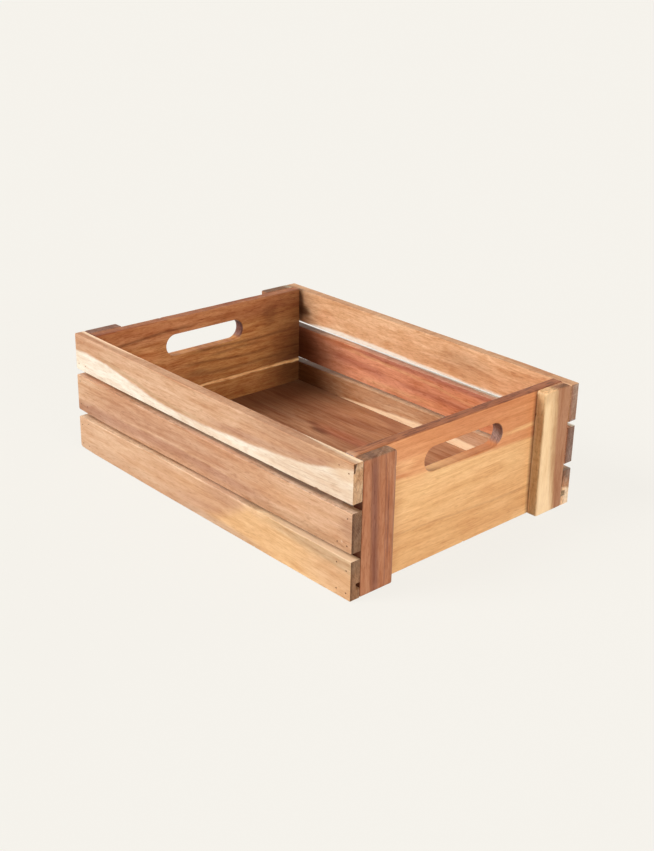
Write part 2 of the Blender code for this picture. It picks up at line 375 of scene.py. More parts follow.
class Place:
    """Where a point lies on a board, in millimetres along, across and below its face, and how it faces."""

    def __init__(self, graph, look, low, high):
        grain, wide, (face, sign) = look["grain"], look["across"], look["face"]
        size = (high - low) / MM
        at = graph.value("ShaderNodeTexCoord", {}, "Object")
        centred = graph.value("ShaderNodeVectorMath", {0: at, 1: (low + high) / 2}, operation="SUBTRACT")
        place = graph.parts(graph.scaled(centred, 1 / MM))
        normal = graph.parts(graph.value("ShaderNodeTexCoord", {}, "Normal"))
        self.half_length, self.half_across = size[grain] / 2, size[wide] / 2
        self.along, self.across = place[grain], place[wide]
        self.depth = size[face] / 2 - place[face] * sign
        self.sideways, self.facing = normal[wide], normal[face]
        self.cut_end = graph.step(abs(normal[grain]), *END_TURN)
        start, full = (self.half_across - reach for reach in RIM_REACH)
        self.outermost = graph.step(abs(self.across), start, full)
        self.on_rim = graph.step(abs(self.sideways), *EDGE_TURN) * self.outermost


def grain_of(graph, look, place):
    """A board's grain by name: places and noises, each with a shift of its own from the board's seed."""
    seed, wander, stretch = look["seed"], look.get("wander", 6.0), look.get("stretch", 1.0)
    along, across, depth = place.along, place.across, place.depth

    # The grain wanders slowly from side to side, and layers of growth lie round the heart of the tree
    sway_at = (along * 0.008, across * 0.02, depth * 0.03 + seed * 3.7)
    sway = graph.parts(graph.noise(sway_at, 2.0, 0.5, output="Color"))
    swayed = across + (sway[0] - 0.5) * wander
    sunk = depth + (sway[1] - 0.5) * wander
    heart_across, heart_depth = look.get("heart", (-35.0, 70.0))
    radius = graph.length(swayed - heart_across, sunk - heart_depth)
    made = {"swayed": swayed, "radius": radius}
    for layer, (per_mm, along_per_mm, detail, shift) in LAYERS.items():
        layer_at = (radius * per_mm, along * along_per_mm, seed * 5.3 + shift)
        made[layer] = graph.noise(layer_at, detail, 0.55)

    # Figure across the layers, and jitter for the borders of marks, in millimetres
    made["ripple"] = graph.noise((along * (0.14 / stretch), swayed * 0.72, seed * 2.9), 2.0, 0.6, 0.6)
    made["mottle"] = graph.noise((along * (0.045 / stretch), swayed * 0.15, seed * 4.1), 3.0, 0.6, 0.8)
    made["cloud"] = graph.noise((along * (0.022 / stretch), across * 0.05, seed * 8.1), 3.0, 0.55, 0.6)
    made["jitter"] = (graph.noise((along * 0.07, across * 0.25, seed * 6.7), 3.0, 0.6) - 0.5) * 2.6

    # Scuffs of the narrow edges, and speckle and blotches of the cut ends
    scuff_rate = look.get("scuff_rate", 0.15)
    made["scuff"] = graph.noise((along * scuff_rate, depth * 0.40, seed * 1.7), 3.0, 0.65, 0.8)
    made["speckle"] = graph.noise((across * 2.2, depth * 2.2, along * 0.3), 2.0, 0.6)
    made["blotch"] = graph.noise((across * 0.22, depth * 0.45, seed * 9.7), 3.0, 0.65, 0.5)
    return made


def figured(graph, look, place, grain):
    """The board's own colour with its marks and its grain, which is weaker in calm wood."""
    clouded = graph.step(grain["cloud"], 0.36, 0.66, 0.0, look.get("clouds", 0.5))
    colour = graph.mix(clouded, srgb(*look["colour"]), srgb(*look["cloud"]))
    strength = contrast = look.get("contrast", 1.0)
    for mark_colour, mask, calm in look["marks"]:
        shown = mask(graph, place.along, grain["swayed"], place.depth, grain["jitter"])
        colour = graph.mix(shown, colour, srgb(*mark_colour))
        if calm:
            strength = (1.0 - shown * calm) * contrast
    if "edge_colour" in look:
        colour = graph.mix(place.on_rim, colour, srgb(*look["edge_colour"]))
    for layer, limits, share, tint in GRAIN_TINTS:
        most = look.get("mottle", 0.5) if share is None else share
        colour = graph.shade(graph.step(grain[layer], *limits) * most * strength, colour, tint)
    return colour


def rimmed(graph, colour, look, place, grain):
    """Narrow edges hold oil and dust, some slats' edges get painted light and sheen, and painted shade
    darkens gaps and sides against slats. Slot walls are tinted too.
    """
    # Edge tint: darker for oil and dust, and lighter on some slats as painted light and sheen
    colour = graph.shade(place.on_rim, colour, look.get("edge_tint", EDGE_TINT))
    scuffed = place.on_rim * look.get("scuffs", 0.35)
    for limits, tint in SCUFF_TINTS:
        colour = graph.shade(graph.step(grain["scuff"], *limits) * scuffed, colour, tint)
    # Painted shade deeper in the gaps between slats
    if "gap_shade_tint" in look:
        shaded = place.on_rim * graph.step(place.depth, *look["gap_shade_depths"])
        colour = graph.shade(shaded, colour, look["gap_shade_tint"])
    # Marks on the narrow edges, among them painted light, sheen and shade
    for mark_colour, mask, _ in look.get("rim_marks", []):
        shown = mask(graph, place.along, place.depth, place.depth, grain["jitter"])
        colour = graph.mix(shown * place.on_rim, colour, srgb(*mark_colour))
    if "wall_tint" in look:
        in_slot = graph.step(abs(place.facing), *WALL_TURN) * (1.0 - place.outermost)
        colour = graph.shade(in_slot, colour, look["wall_tint"])
    # Painted shade on a batten's side against the slats
    if "slat_side" in look:
        at_slat = graph.step(place.sideways * look["slat_side"], *EDGE_TURN)
        colour = graph.shade(at_slat, colour, SLAT_SIDE_SHADE)
    return colour


def end_grained(graph, colour, look, place, grain):
    """Cut ends show darker end grain with a fine speckle, and on some boards a dark arris, painted shade
    beside the battens on the back slats, and painted shade in a chip.
    """
    rings = graph.step(graph.math("SINE", grain["radius"] * RING_RADIANS_PER_MM), -0.2, 0.9)
    end_dark = grain["speckle"] * 0.5 + rings * 0.26 + 0.62
    colour = graph.shade(place.cut_end * end_dark, colour, look.get("end_tint", END_TINT))
    for limits, tint in BLOTCH_TINTS:
        colour = graph.shade(graph.step(grain["blotch"], *limits) * place.cut_end, colour, tint)
    # Dark arris; on the back slats it is painted shade beside the battens
    if "arris_tint" in look:
        arris = graph.step(place.depth + grain["jitter"], *look.get("arris_depths", ARRIS_DEPTHS))
        colour = graph.shade(place.cut_end * arris, colour, look["arris_tint"])
    # Painted shade on the chip's walls
    if "chip_tint" in look:
        from_end, from_top = place.half_length - place.along, place.half_across - place.across
        behind = graph.step(from_end, *CHIP_BEHIND_END) * graph.step(from_end, *CHIP_AT_MOST)
        inside = graph.step(place.depth, *CHIP_BEHIND_FACE) * graph.step(from_top, *CHIP_BELOW_TOP)
        colour = graph.shade(behind * inside, colour, look["chip_tint"])
    return colour


def wood(name, look, low, high):
    """An oiled acacia board: colour and marks, layered grain, pores, end grain and a satin sheen."""
    material, graph, shader = new_material(name)
    place = Place(graph, look, low, high)
    grain = grain_of(graph, look, place)
    colour = figured(graph, look, place, grain)
    colour = rimmed(graph, colour, look, place, grain)
    colour = end_grained(graph, colour, look, place, grain)
    graph.feed(shader.inputs["Base Color"], colour)
    worn = graph.spread(grain["medium"] + grain["ripple"] * 0.6, 0.5, 1.1, 0.44, 0.56)
    graph.feed(shader.inputs["Roughness"], worn + place.cut_end * 0.16)
    shader.inputs["Specular IOR Level"].default_value = 0.32
    pores = graph.step(grain["pores"], *PORE_RANGE)
    relief = grain["fine"] * 0.5 - pores * 0.5 + grain["speckle"] * place.cut_end * 0.5
    bump = graph.value("ShaderNodeBump", {"Strength": 0.35, "Distance": 0.25 * MM, "Height": relief})
    graph.feed(shader.inputs["Normal"], bump)
    return material


STAINS_PER_METRE = 1400.0


def steel(name, light, dark):
    """Dull brads, with stains of a darker colour."""
    material, graph, shader = new_material(name)
    place = graph.value("ShaderNodeTexCoord", {}, "Object")
    stain = graph.step(graph.noise(graph.scaled(place, STAINS_PER_METRE), 2.0, 0.6), 0.38, 0.62)
    graph.feed(shader.inputs["Base Color"], graph.mix(stain, srgb(*light), srgb(*dark)))
    graph.feed(shader.inputs["Roughness"], graph.spread(stain, 0.0, 1.0, 0.45, 0.7))
    shader.inputs["Metallic"].default_value = 0.25
    return material


# Board meshes


def new_piece(name, points, faces):
    mesh = bpy.data.meshes.new(name)
    mesh.from_pydata(points, [], faces)
    mesh.validate()
    made = bmesh.new()
    made.from_mesh(mesh)
    bmesh.ops.recalc_face_normals(made, faces=made.faces)
    made.to_mesh(mesh)
    made.free()
    piece = bpy.data.objects.new(name, mesh)
    scene.collection.objects.link(piece)
    return piece


def skin(rings):
    """Faces that join equal rings of points into a closed tube."""
    count = len(rings[0])
    faces = [list(range(count))]
    for number in range(len(rings) - 1):
        near, far = number * count, (number + 1) * count
        for index in range(count):
            following = (index + 1) % count
            faces.append([near + index, near + following, far + following, far + index])
    faces.append(list(range(far, far + count)))
    return [point for ring in rings for point in ring], faces


def place_of(grain, along, first, second):
    """A point from its place along the grain and on the two other axes in order."""
    values = [first, second]
    values.insert(grain, along)
    return tuple(values)


def nicks_of(length, seed):
    """Small dents along a board's four edges: (place, edge, depth, half length)."""
    def draw(number, shift, low, high):
        value = noise.cell(Vector((number + 0.5, seed * 7.0 + 0.5, shift + 0.5)))
        return low + (high - low) * min(max(0.5 + 0.5 * value, 0.0), 1.0)

    made = []
    for number in range(int(length * NICKS_PER_METRE)):
        place, edge = draw(number, 0, *NICK_PLACES) * length, int(draw(number, 1, *NICK_EDGES))
        made.append((place, edge, draw(number, 2, *NICK_DEPTH), draw(number, 3, *NICK_HALF_LENGTH)))
    return made


def fall_back(reach, from_end):
    """How far a rounded end draws in from the full section, at a distance from the end."""
    if from_end >= reach:
        return 0.0
    return reach - sqrt(max(0.0, reach * reach - (reach - from_end) ** 2))


def shift_at(points, place):
    """The shift in millimetres at a place, between given (along, shift) points."""
    for (start, before), (stop, after) in zip(points, points[1:]):
        if place <= stop:
            return before + (after - before) * (place - start) / (stop - start)
    return points[-1][1]


def stations_of(length, low_end, high_end, corners, nicks):
    """Where a board's cross sections lie along it: closer together at its nicks and ends."""
    count = max(2, round(length / STATION_STEP))
    stations = {-length / 2 + length * number / count for number in range(1, count)}
    stations |= {place + share * reach for place, _, _, reach in nicks for share in NICK_STATIONS}
    low_limit = -length / 2 + low_end * CLEAR_OF_END
    high_limit = length / 2 - high_end * CLEAR_OF_END
    stations = [value for value in stations if low_limit < value < high_limit]
    for number in range(END_STEPS + 1):
        share = 1 - sin(pi / 2 * number / END_STEPS)
        stations.append(length / 2 - high_end * share)
        stations += [-length / 2 + reach * share for reach in (low_end, *corners)]
    stations.sort()
    kept = stations[:1]
    for value in stations[1:]:
        if value - kept[-1] > LEAST_STEP:
            kept.append(value)
    return kept


def edge_radius(base, value, corner, seed, nicks):
    """How round one edge is at a place along the board, with its wear and its nicks."""
    worn = noise.noise(Vector((value / WEAR_LENGTH, corner * EDGES_APART, seed * BOARDS_APART)))
    radius = base * (1 + WEAR_SHARE * worn)
    for place, nicked, depth, reach in nicks:
        if nicked == corner and abs(value - place) < reach:
            radius += depth * (1 + cos(pi * (value - place) / reach))
    return max(radius, LEAST_ROUND)


def board(name, low, high, look):
    """A sawn board with worn, nicked edges and rounded ends.

    Bow bends it along its second side axis, and over and under shift its upper and lower edges there. The
    flush side, if any, keeps square ends and crisp edges.
    """
    grain, edges, seed = look["grain"], look["edges"], look["seed"]
    low_end, high_end = look["ends"]
    corners = look.get("corners", (low_end, low_end))
    flush = look.get("flush", 0)
    first_axis, second_axis = [axis for axis in (X, Y, Z) if axis != grain]
    middle, half = (low + high) / 2, (high - low) / 2
    length = high[grain] - low[grain]
    level = [(-length / MM, 0.0), (length / MM, 0.0)]
    shifts = (look.get("over", level), look.get("under", level))
    nicks = nicks_of(length, seed)
    rings = []
    for value in stations_of(length, low_end, high_end, corners, nicks):
        from_end = length / 2 - abs(value)
        inset_a = fall_back(low_end if value < 0 else high_end, from_end)
        insets_b = [fall_back(reach if value < 0 else high_end, from_end) for reach in corners]
        lift = look.get("bow", 0.0) * (1 - (2 * value / length) ** BOW_POWER)
        lifts = [lift + shift_at(points, value / MM) * MM for points in shifts]
        ring = []
        for corner, (side_a, side_b) in enumerate(((1, 1), (-1, 1), (-1, -1), (1, -1))):
            below = 0 if side_b > 0 else 1
            crisp = side_a == flush
            radius = edge_radius(FLUSH_EDGE if crisp else edges[below], value, corner, seed, nicks)
            centre_a = side_a * (half[first_axis] - (0.0 if crisp else inset_a) - radius)
            centre_b = lifts[below] + side_b * (half[second_axis] - insets_b[below] - radius)
            for step in range(CORNER_STEPS + 1):
                angle = pi / 2 * (corner + step / CORNER_STEPS)
                ring.append(place_of(grain, middle[grain] + value,
                                     middle[first_axis] + centre_a + radius * cos(angle),
                                     middle[second_axis] + centre_b + radius * sin(angle)))
        rings.append(ring)
    return new_piece(name, *skin(rings))


def box_cutter(name, low, high):
    corners = [(x, y, z) for x in (low[X], high[X]) for y in (low[Y], high[Y]) for z in (low[Z], high[Z])]
    faces = [(0, 1, 3, 2), (4, 6, 7, 5), (0, 4, 5, 1), (2, 3, 7, 6), (0, 2, 6, 4), (1, 5, 7, 3)]
    return new_piece(name, corners, faces)


def slot_cutter(name, low, high, shift):
    """A long hole with round ends, and its rims eased at both faces of the board."""
    thickness = high[X] - low[X]
    depths = []
    for step in range(SLOT_RIM_STEPS + 1):
        angle = pi / 2 * step / SLOT_RIM_STEPS
        depths.append((SLOT_RIM_ROUND * (1 - cos(angle)), SLOT_RIM_ROUND * (1 - sin(angle))))
    profile = [(-OVERSHOOT, SLOT_RIM_ROUND)] + depths
    profile += [(thickness - depth, flare) for depth, flare in reversed(depths)]
    profile.append((thickness + OVERSHOOT, SLOT_RIM_ROUND))
    straight = SLOT_HALF_LENGTH - SLOT_HALF_HEIGHT
    rings = []
    for depth, flare in profile:
        radius = SLOT_HALF_HEIGHT + flare
        ring = []
        for side, start in ((1, -pi / 2), (-1, pi / 2)):
            for step in range(SLOT_ARC_STEPS + 1):
                angle = start + pi * step / SLOT_ARC_STEPS
                ring.append((low[X] + depth, shift[0] + side * straight + radius * cos(angle),
                             SLOT_CENTRE_Z + shift[1] + radius * sin(angle)))
        rings.append(ring)
    return new_piece(name, *skin(rings))


def hole_cutter(name, low, high, outward, covered):
    """A brad's hole: a punched mouth at the slat's face, or a thin cover, then a snug bore."""
    middle = (low + high) / 2
    bore = (high[X] - low[X]) / 2 + HOLE_CLEARANCE
    mouth = cad_box[1][Y] if outward > 0 else cad_box[0][Y]
    deep = low[Y] - CLEARANCE if outward > 0 else high[Y] + CLEARANCE
    profile = [(mouth + outward * OVERSHOOT, HOLE_MOUTH_RADIUS), (mouth, HOLE_MOUTH_RADIUS),
               (mouth - outward * HOLE_MOUTH_DEPTH, bore), (deep, bore)]
    if covered:
        profile = [(mouth - outward * COVER, bore), (deep, bore)]
    turns = [2 * pi * step / HOLE_SIDES for step in range(HOLE_SIDES)]
    rings = [[(middle[X] + radius * cos(turn), y, middle[Z] + radius * sin(turn)) for turn in turns]
             for y, radius in profile]
    return new_piece(name, *skin(rings))


def chip_cutter(name, low, high):
    """A sliver broken out of a slat's cut end: it hangs from the top edge, just behind the outer face."""
    outer, top = low[Y] + CHIP_SKIN, high[Z] - CHIP_DROP
    rings = [[(x, outer + across * CHIP_WIDTH, top - down * CHIP_HEIGHT) for across, down in CHIP_OUTLINE]
             for x in (high[X] - CHIP_DEPTH, high[X] + OVERSHOOT)]
    return new_piece(name, *skin(rings))


def carve(piece, cutters):
    """Cuts shapes out of a piece for good, then removes them."""
    for cutter in cutters:
        modifier = piece.modifiers.new("cut", "BOOLEAN")
        modifier.operation = "DIFFERENCE"
        modifier.solver = "EXACT"
        modifier.object = cutter
    graph = bpy.context.evaluated_depsgraph_get()
    cut = bpy.data.meshes.new_from_object(piece.evaluated_get(graph))
    piece.modifiers.clear()
    piece.data = cut
    for cutter in cutters:
        bpy.data.objects.remove(cutter)


def soften(piece):
    """Smooth shading over the rounded edges, flat on the faces."""
    piece.data.shade_smooth()
    piece.data.set_sharp_from_angle(angle=SMOOTH_ANGLE)
    modifier = piece.modifiers.new("weighted normals", "WEIGHTED_NORMAL")
    modifier.keep_sharp = True
    modifier.weight = FACE_WEIGHT


# Looks of the thirteen boards
SLAT = dict(grain=X, across=Z, face=(Y, -1), slot="slat_wood", edges=SLAT_EDGES, ends=SLAT_ENDS,
            corners=SLAT_CORNERS)
BATTEN = dict(grain=Z, across=Y, slot="batten_wood", edges=BATTEN_EDGES, ends=BATTEN_ENDS)
END_BOARD = dict(grain=Y, across=Z, face=(X, 1), slot="end_wood", edges=END_BOARD_EDGES,
                 ends=END_BOARD_ENDS)
FLOOR = dict(grain=X, across=Y, face=(Z, 1), slot="floor_wood", edges=FLOOR_EDGES, ends=FLOOR_EDGES)

LOOKS = {}
LOOKS["front_top_slat"] = dict(
    SLAT, seed=1, colour=TAN, cloud=PINK_TAN, wander=3.0, bow=-0.6 * MM,
    marks=[
        patch((236, 194, 158), (-40, 6), (110, 16), 0.6),
        patch((198, 148, 112), (140, 15), (60, 9), 0.7),
        streak(ROSE_BROWN, [(0, -6), (60, -4), (146, 1), (190, 8), (220, 15)], 4.0, 3.5, 0.7, fade=60),
        streak((200, 160, 120), [(-190, 7), (-120, -1), (-54, -9), (20, -7.5)], 2.0, 1.8, 0.5),
        side_of(CREAM, [(-220, 2.4), (-177, 2.2), (-120, -5.2), (-54, -12.5), (66, -9.7), (112, -6.1),
                        (146, -2.3), (197, 8), (220, 14)], False, 1.7, tilt=2.2, calm=0.3),
        patch((252, 228, 200), (90, -19), (90, 5.5), 0.7, soft=0.3),
        patch((250, 227, 198), (-215, -12), (20, 9), 0.5),
        patch((236, 198, 160), (165, -5), (70, 8), 0.35),
        patch((240, 210, 180), (195, -17), (80, 9), 0.6),
        patch((238, 201, 162), (212, 7), (20, 7), 0.75),
        patch((232, 190, 150), (205, 21), (40, 4), 0.7),
        streak(FINE_LINE, [(110, -12), (160, -9), (220, -5)], 0.3, 0.6, 0.5),
        streak(FINE_LINE, [(100, -15.5), (160, -13.5), (220, -11)], 0.3, 0.5, 0.5),
        streak(FINE_LINE, [(140, -4), (180, 0), (220, 5)], 0.3, 0.6, 0.45),
    ], edge_tint=(0.82, 0.75, 0.69), scuffs=0.25, end_tint=(0.58, 0.43, 0.30),
    rim_marks=[
        side_of((255, 221, 180), [(-220, 9.0), (-160, 9.0), (-110, 10.2), (-60, 15.0), (100, 15.0),
                                  (145, 11.0), (180, 8.9), (220, 6.4)], True, 1.2),
        patch((255, 214, 174), (-180, 11), (70, 4), 0.6),
    ], under=[(-220, -0.1), (-100, -0.2), (20, -0.2), (60, 0.2), (140, 0.5), (180, 1.0), (220, 1.3)],
    # Painted shade on the walls of the broken corner
    chip_tint=(0.27, 0.19, 0.13))
LOOKS["front_middle_slat"] = dict(
    SLAT, seed=2, colour=PINK_TAN, cloud=TAN, contrast=1.15, wander=4.0,
    marks=[
        patch(PALE_TAN, (-205, 8), (40, 20), 0.7),
        patch((198, 147, 114), (-60, 3), (120, 9), 0.6),
        streak(PINK_BROWN, [(-225, -14), (-160, -13), (-60, -10), (60, -11), (130, -14)], 6.0, 6.0, 0.75),
        patch((180, 130, 102), (-205, -17), (55, 7), 0.6),
        streak(PALE_TAN, [(-150, -7), (-100, -4.5), (-45, -3), (20, -5), (80, -7.5)], 1.0, 1.4, 0.7),
        patch(PALE_TAN, (160, 4), (90, 24), 0.6),
        patch((246, 202, 162), (135, 1.6), (26, 5), 0.5),
        patch((200, 154, 116), (160, -18), (80, 6), 0.7),
        patch(CREAM, (207.5, -11.6), (1.3, 1.3), 0.45),
        # Painted shade on the rounded arris at the low end
        patch(GREY_BROWN, (-221.5, 0), (2.2, 22), 0.5),
        patch((176, 128, 100), (222, 4), (18, 11), 0.5),
    ], rim_marks=[
        # Painted light and painted shade on the top face in the gap
        patch((236, 180, 144), (-215, 7), (60, 7), 0.5),
        patch((236, 188, 154), (18, 2.5), (46, 3.5), 0.55),
        patch((104, 70, 46), (142, 8.0), (40, 4), 0.55),
    ], under=[(-220, -0.5), (-180, -1.0), (-120, -1.2), (-60, -0.4), (0, 0.1), (100, 0.3), (180, 0.7),
              (220, 0.7)],
    end_tint=(0.26, 0.225, 0.185), arris_tint=FRONT_ARRIS_TINT, scuffs=0.6,
    # The lighter top edge is painted light, and the darker part deep in the gap is painted shade
    edge_tint=(0.96, 1.10, 1.24), gap_shade_tint=(0.56, 0.51, 0.44), gap_shade_depths=(3.2, 8.0), bow=-0.8 * MM)
LOOKS["front_bottom_slat"] = dict(
    SLAT, seed=3, colour=PALE_TAN, cloud=TAN, contrast=0.85, wander=5.0, corners=BOTTOM_SLAT_CORNERS,
    marks=[
        patch((206, 152, 112), (5, -4), (70, 22), 0.5),
        patch((204, 158, 122), (-140, -16), (110, 10), 0.55),
        streak(ROSE_BROWN, [(-60, -9), (0, -6), (50, -5), (70, -4)], 4.0, 4.0, 0.35),
        side_of(GOLD, [(-40, -30), (10, -16), (45, 0), (75, 20), (110, 40), (220, 50)],
                False, 9.0, share=0.7),
        patch(TAN, (215, -4), (50, 22), 0.5),
        patch((242, 200, 160), (-24, 10), (24, 6), 0.45),
        patch((202, 166, 130), (190, 17), (75, 8), 0.75),
        patch((200, 150, 116), (36, 16), (26, 8), 0.6),
        patch((252, 214, 172), (86, 18.5), (14, 3), 0.5),
        patch((204, 165, 136), (20, -19), (70, 6), 0.75),
        streak(GOLD_LINE, [(100, 20), (140, 17.5), (180, 12.5), (235, 7.0)], 0.5, 0.9, 0.55, fade=20),
        streak(GOLD_LINE, [(145, 15.4), (172, 13.2), (235, 9.4)], 0.4, 0.8, 0.5, fade=20),
        streak((204, 158, 112), [(150, 6.2), (190, 4.6), (235, 2.8)], 0.4, 0.8, 0.4, fade=20),
        # Painted shade on the rounded arris at the low end
        patch(GREY_BROWN, (-221.5, 0), (2.2, 22), 0.5),
    ], rim_marks=[
        # Painted light and painted shade on the top face in the gap
        patch((252, 214, 174), (185, 4.5), (80, 5), 0.9),
        patch((230, 186, 152), (20, 5), (50, 5), 0.55),
        patch((140, 96, 64), (76, 6), (16, 5), 0.45),
    ], over=[(-220, -1.9), (-180, -1.9), (-140, -1.7), (-100, -0.8), (-50, 0.0), (220, 0.0)],
    under=[(-220, 1.8), (-210, 1.2), (-190, 0.6), (-140, 0.4), (-90, 0.1), (60, 0.1), (140, 0.2),
           (220, 0.6)],
    end_tint=(0.33, 0.28, 0.26), arris_tint=FRONT_ARRIS_TINT,
    # The lighter top edge is painted light, and the darker part deep in the gap is painted shade
    edge_tint=(1.16, 1.36, 1.50), gap_shade_tint=(0.74, 0.64, 0.56), gap_shade_depths=(3.5, 7.5))
LOOKS["back_top_slat"] = dict(
    SLAT, seed=4, colour=(240, 191, 147), cloud=(240, 194, 150), mottle=0.9,
    edges=BACK_SLAT_EDGES, over=[(-220, 0.0), (150, 0.0), (180, -0.5), (220, -0.9)],
    under=[(-220, 0.0), (-180, -0.25), (-100, -0.5), (0, -0.7), (100, -0.9), (220, -0.9)],
    marks=[
        patch(GREY_BROWN, (75, 0), (34, 12), 0.25),
        patch(ORANGE, (160, -12), (80, 12), 0.4),
        patch((214, 154, 108), (20, -10), (90, 6), 0.5),
        patch((248, 206, 166), (34, -1.7), (20, 4), 0.5),
        patch((216, 150, 104), (-150, -6), (16, 9), 0.5),
        # Painted shade in the far inner corner, where the left end board casts its shadow
        patch(DARK_BROWN, (-206, -6), (36, 34), 0.6, skin=PAINTED_SHADE_SKIN),
        patch(CORNER_SHADE, (-194, 4), (5.5, 24), 0.75, skin=PAINTED_SHADE_SKIN),
        patch(CORNER_SHADE, (-189, -5), (12, 6), 0.75, skin=PAINTED_SHADE_SKIN),
        side_of((255, 243, 226), [(-220, -19), (-185, -18.7), (-162, -17), (-140, -14.9), (-110, -14.5),
                                  (-50, -15.4), (0, -16.8), (55, -18.8), (110, -19.7), (220, -20.3)],
                False, 1.5, calm=0.6),
    ], edge_tint=(0.71, 0.63, 0.57), scuffs=0.2, end_tint=(0.38, 0.41, 0.55),
    # Dark arris on the cut ends: painted shade beside the battens
    arris_tint=(0.86, 0.63, 0.50), arris_depths=BACK_ARRIS_SHADE_DEPTHS)
LOOKS["back_middle_slat"] = dict(
    SLAT, seed=5, colour=(226, 154, 118), cloud=(210, 136, 102), contrast=1.3, edges=BACK_SLAT_EDGES,
    marks=[
        streak((172, 94, 72), [(-150, 2), (-100, 0.8), (-30, -2.5)], 4.0, 3.0, 0.6, fade=30),
        streak((178, 104, 82), [(-40, -3), (-6, -3.2), (51, -3.4), (130, -5)], 2.2, 2.6, 0.6),
        streak((182, 112, 92), [(-110, 17), (-51, 17), (7, 18), (63, 17.5), (200, 16)], 3.0, 2.4, 0.75),
        streak(ORANGE_TAN, [(-130, 13), (-82, 12.8), (-21, 12), (36, 9.4), (77, 5), (160, 2)],
               1.5, 1.6, 0.75),
        streak(ORANGE_TAN, [(-96, -15), (-40, -14), (60, -13)], 3.0, 3.0, 0.6),
        # Painted shade in the far inner corner, where the left end board casts its shadow
        patch((92, 44, 17), (-215, -6), (84, 36), 0.97, skin=PAINTED_SHADE_SKIN),
        patch((236, 170, 128), (118, -13), (40, 9), 0.5),
        patch(LIGHT_ORANGE, (83, 9.4), (24, 5), 0.5),
        patch(LIGHT_ORANGE, (40, -13.5), (24, 5), 0.5),
    ], rim_marks=[
        # Painted shade on the top edge in the far inner corner
        patch((100, 66, 46), (-200, 6), (50, 14), 0.85),
        # Painted sheen on the top face in the upper gap
        side_of((255, 240, 214), [(-220, 12.5), (-120, 11.0), (-60, 9.6), (0, 8.8), (60, 8.2), (110, 7.0),
                                  (220, 7.0)], True, 0.7),
    # The lighter top edge is painted sheen
    ], edge_tint=(1.16, 1.54, 1.62), scuffs=0.15, bow=-0.4 * MM, end_tint=(0.27, 0.42, 0.59),
    # Dark arris on the cut ends: painted shade beside the battens
    arris_tint=(0.80, 0.58, 0.43), arris_depths=BACK_ARRIS_SHADE_DEPTHS)
LOOKS["back_bottom_slat"] = dict(
    SLAT, seed=6, colour=(200, 151, 112), cloud=(190, 149, 116), contrast=1.3, bow=1.15 * MM,
    edges=BACK_SLAT_EDGES, over=[(-220, 0.0), (120, 0.0), (220, -0.6)],
    marks=[
        # Painted shade in the far inner corner, where the left end board casts its shadow
        patch((100, 58, 24), (-212, 6), (86, 40), 0.97, skin=PAINTED_SHADE_SKIN),
        patch((134, 108, 92), (222, 18), (5, 12), 0.9),
        patch((214, 172, 140), (108, 15), (36, 10), 0.6),
        patch((228, 190, 152), (-14, 8), (30, 4.5), 0.55),
        side_of((255, 228, 190), [(-220, -14), (-150, -9), (-105, -1.2), (-60, 1.8), (-30, 3), (0, 3.8),
                                  (100, 5.5), (205, 5), (220, 0)], False, 1.4, tilt=-0.25, calm=0.6),
    ], rim_marks=[
        # Painted shade on the top edge in the far inner corner
        patch((108, 70, 54), (-200, 6), (76, 14), 0.75),
    # The lighter top edge is painted sheen
    ], edge_tint=(1.20, 1.42, 1.54), scuffs=0.15, end_tint=(0.86, 0.82, 0.83),
    # Dark arris on the cut ends: painted shade beside the battens
    arris_tint=(0.95, 0.76, 0.62), arris_depths=BACK_ARRIS_SHADE_DEPTHS)
LOOKS["right_end_board"] = dict(
    END_BOARD, seed=7, colour=(237, 185, 128), cloud=GOLD, contrast=0.8, wander=5.0, heart=(-90.0, 60.0),
    marks=[
        patch((222, 166, 108), (-50, -48), (120, 26), 0.6),
        streak((205, 150, 100), [(-143, -26), (-60, -29), (20, -33), (143, -35)], 0.9, 1.4, 0.6),
        side_of(ORANGE, [(-143, 31), (-91, 28.4), (17, 22.4), (97, 19), (143, 18)], True, 2.4),
        streak((206, 128, 80), [(-143, 34), (-90, 32), (-40, 29), (0, 27)], 2.4, 2.4, 0.7),
        patch((226, 158, 108), (-86, 52), (26, 9), 0.7),
        patch((206, 132, 86), (10, 58), (40, 8), 0.5),
        streak(GOLD, [(40, 33), (80, 33), (143, 32)], 2.0, 2.0, 0.7),
        patch((242, 172, 118), (-143, 67), (52, 4), 0.9),
        patch((236, 174, 120), (-64, 34), (16, 12), 0.6),
        patch((255, 204, 150), (-85, 39), (14, 6), 0.6),
        # Painted shadow of the front right batten
        patch((196, 140, 92), (-100, -15), (16, 60), 0.5, skin=PAINTED_SHADE_SKIN),
        # Painted shade along the joint with the back right batten
        patch((88, 50, 28), (103.6, 0), (4.4, 90), 0.65, skin=PAINTED_SHADE_SKIN),
    ], edge_tint=(0.50, 0.39, 0.33), scuffs=1.0, scuff_rate=0.05, end_tint=(0.42, 0.61, 1.28),
    rim_marks=[patch((222, 172, 134), (-142, 7), (5, 9), 0.6)],
    # Painted shade towards the inner side of the top edge
    gap_shade_tint=(0.84, 0.84, 0.88), gap_shade_depths=(4.0, 12.0), wall_tint=(0.88, 0.80, 0.75))
